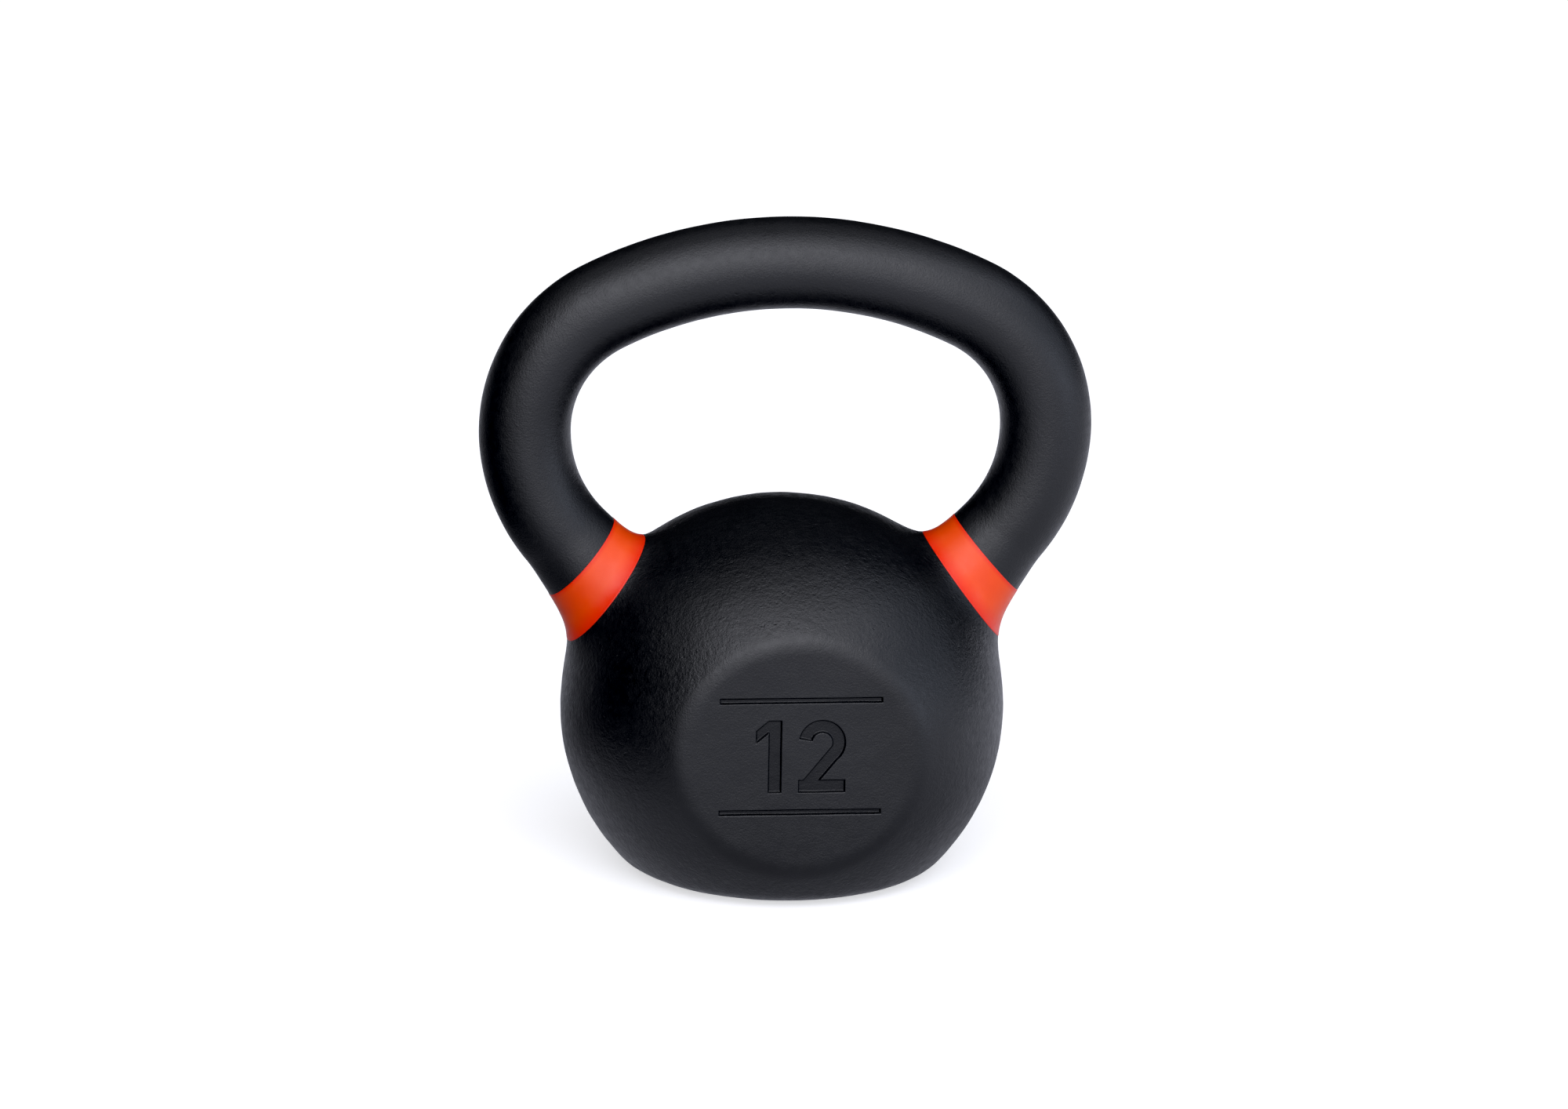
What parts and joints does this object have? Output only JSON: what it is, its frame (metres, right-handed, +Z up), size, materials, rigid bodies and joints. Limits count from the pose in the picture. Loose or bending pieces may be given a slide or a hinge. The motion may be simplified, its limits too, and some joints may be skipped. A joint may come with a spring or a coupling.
{
  "type": "kettlebell",
  "caption": "Cast-iron ball weight with a flat base, flat front and back faces, a round looped handle on horns, and painted colour bands at the roots of the handle.",
  "frame": {"origin": "centre of the flat base that the kettlebell stands on", "axes": "+Z up through the ball and the middle of the grip, +X along the grip, -Y out of the flat face that carries the number"},
  "size_m": [0.199, 0.1222, 0.2158],
  "materials": {
    "coated_iron": "matte black powder coat over a sand-cast surface",
    "band_enamel": "satin orange-red enamel"
  },
  "bodies": {
    "root": {"bell": "coated_iron", "handle": "coated_iron", "left_colour_band": "band_enamel", "right_colour_band": "band_enamel"}
  },
  "joints": []
}
